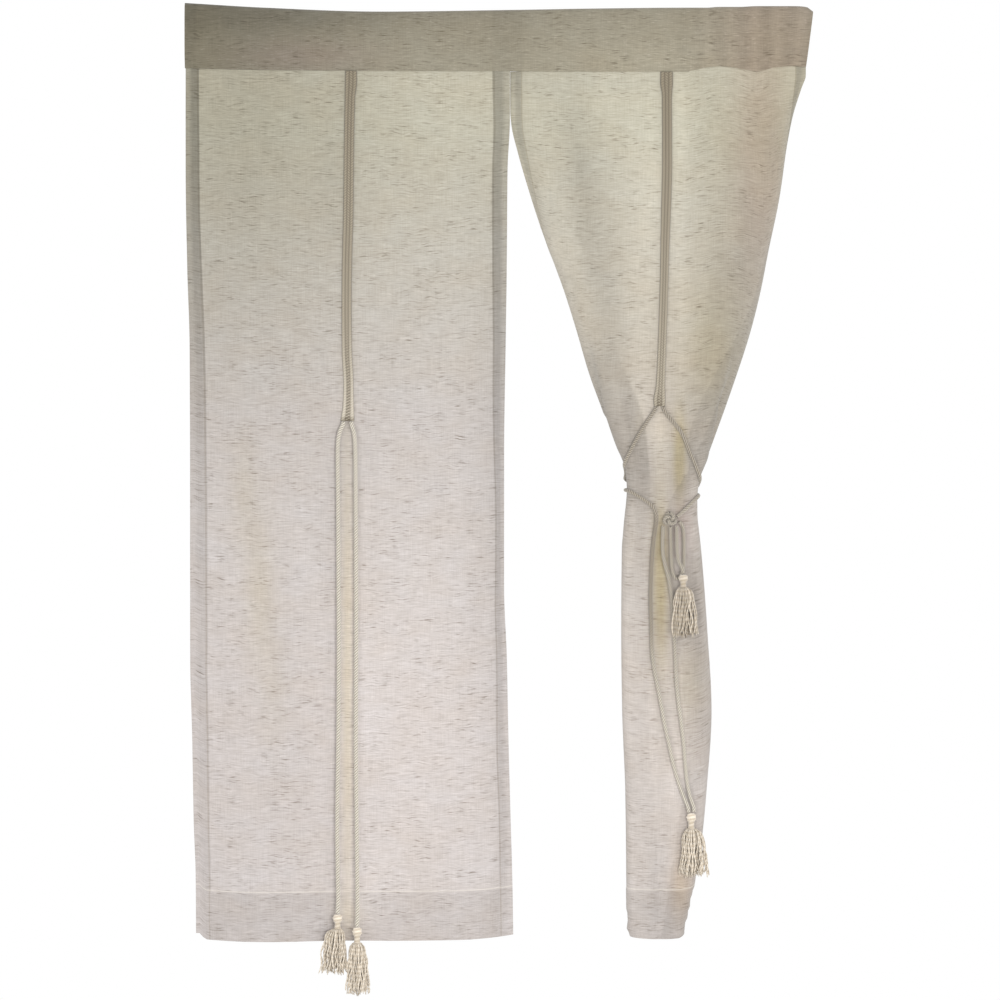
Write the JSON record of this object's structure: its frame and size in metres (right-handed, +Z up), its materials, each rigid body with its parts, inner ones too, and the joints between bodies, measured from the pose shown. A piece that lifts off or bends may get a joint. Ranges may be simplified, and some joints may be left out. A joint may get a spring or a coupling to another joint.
{
  "type": "noren curtain",
  "caption": "Noren doorway curtain of slubby linen under a rod pocket; one side hangs straight, the other is gathered by its own tie cords, with sewn braids and tassels.",
  "frame": {"origin": "middle of the curtain's top edge, where it hangs from its rod", "axes": "+X towards the gathered panel, the viewer's right; -Y towards the viewer; +Z up"},
  "size_m": [0.795, 0.1168, 1.271],
  "materials": {
    "linen": "slubby natural linen, matte",
    "heading_linen": "the same linen doubled, matte",
    "braid": "woven cotton braid, matte",
    "cotton_cord": "twisted cream cotton cord",
    "tassel_yarn": "cream cotton yarn, soft"
  },
  "bodies": {
    "root": {"heading": "heading_linen", "panel_left": "linen", "panel_right": "linen", "braid_left": "braid", "braid_right": "braid", "cord_left_1": "cotton_cord", "cord_left_2": "cotton_cord", "cord_right_long": "cotton_cord", "cord_right_tie": "cotton_cord", "cord_second": "cotton_cord", "cord_loop": "cotton_cord", "cord_short": "cotton_cord", "knot": "cotton_cord", "tassel_left_1": "tassel_yarn", "tassel_left_2": "tassel_yarn", "tassel_short": "tassel_yarn", "tassel_long": "tassel_yarn"}
  },
  "joints": []
}
